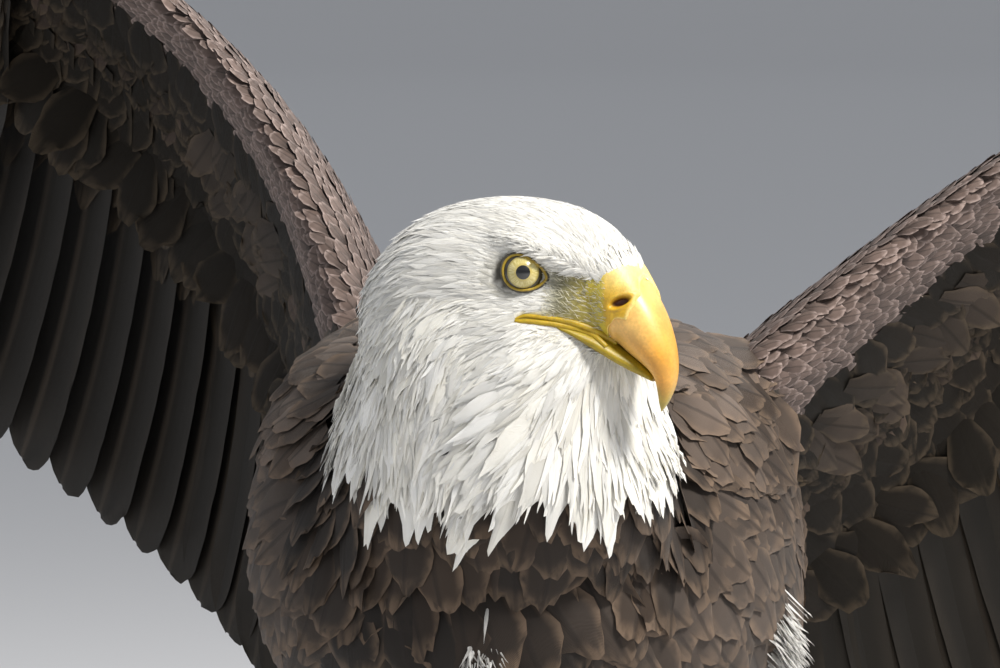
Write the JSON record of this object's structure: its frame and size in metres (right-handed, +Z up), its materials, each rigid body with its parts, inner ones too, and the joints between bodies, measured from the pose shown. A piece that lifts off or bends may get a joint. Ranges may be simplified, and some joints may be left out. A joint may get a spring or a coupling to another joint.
{
  "type": "bald eagle",
  "caption": "Life-size bald eagle model standing on its own feet with half-raised open wings and its head turned to its left, beak closed.",
  "frame": {"origin": "under the middle of the whole bird's box, on the floor the feet stand on", "axes": "+X to the bird's own left, -Y the way its breast faces, +Z up"},
  "size_m": [1.4601, 0.7661, 0.8965],
  "materials": {
    "white_feather": "soft white body feathers, matt",
    "brown_feather": "dark brown body feathers with paler buff edges, matt",
    "flight_feather": "blackish brown flight feathers, faint sheen",
    "bill_horn": "smooth orange-yellow horn, half gloss",
    "bill_flesh": "waxy yellow cere, soft sheen",
    "eye": "pale yellow iris round a black pupil under a wet clear surface",
    "scaly_skin": "yellow scaly skin, soft sheen",
    "claw_horn": "black horn, half gloss"
  },
  "bodies": {
    "root": {"neck": "white_feather", "head": "white_feather", "tail": "white_feather", "trunk": "brown_feather", "bill_upper": "bill_horn", "bill_lower": "bill_horn", "cere": "bill_flesh", "eye_left": "eye", "wing_left_arm": "brown_feather", "wing_left_hand": "brown_feather", "leg_left_thigh": "brown_feather", "wing_left_flight": "flight_feather", "leg_left_shank": "scaly_skin", "toe_left_inner": "scaly_skin", "claw_left_inner": "claw_horn", "toe_left_middle": "scaly_skin", "claw_left_middle": "claw_horn", "toe_left_outer": "scaly_skin", "claw_left_outer": "claw_horn", "toe_left_hind": "scaly_skin", "claw_left_hind": "claw_horn", "eye_right": "eye", "wing_right_arm": "brown_feather", "wing_right_hand": "brown_feather", "leg_right_thigh": "brown_feather", "wing_right_flight": "flight_feather", "leg_right_shank": "scaly_skin", "toe_right_inner": "scaly_skin", "claw_right_inner": "claw_horn", "toe_right_middle": "scaly_skin", "claw_right_middle": "claw_horn", "toe_right_outer": "scaly_skin", "claw_right_outer": "claw_horn", "toe_right_hind": "scaly_skin", "claw_right_hind": "claw_horn"}
  },
  "joints": []
}
